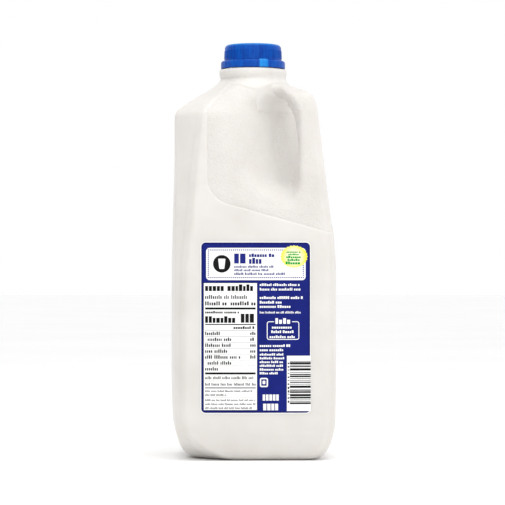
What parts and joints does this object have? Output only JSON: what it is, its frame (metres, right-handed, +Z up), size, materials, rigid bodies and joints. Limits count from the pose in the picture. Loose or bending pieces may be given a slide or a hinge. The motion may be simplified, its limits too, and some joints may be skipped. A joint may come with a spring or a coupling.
{
  "type": "plastic milk jug",
  "caption": "Full half-gallon plastic milk jug with a moulded corner handle, a blue screw cap and a printed label on its front.",
  "frame": {"origin": "middle of the standing face, on the neck's axis, at ground level", "axes": "+Z up along the neck, -Y out of the labelled side, the handle in the +X -Y corner"},
  "size_m": [0.102, 0.1022, 0.2574],
  "materials": {
    "jug_plastic": "natural white HDPE, satin, stippled round the handle",
    "cap_plastic": "semi-gloss blue HDPE",
    "label_print": "satin printed film"
  },
  "bodies": {
    "root": {"jug": "jug_plastic", "cap": "cap_plastic", "label": "label_print"}
  },
  "joints": []
}
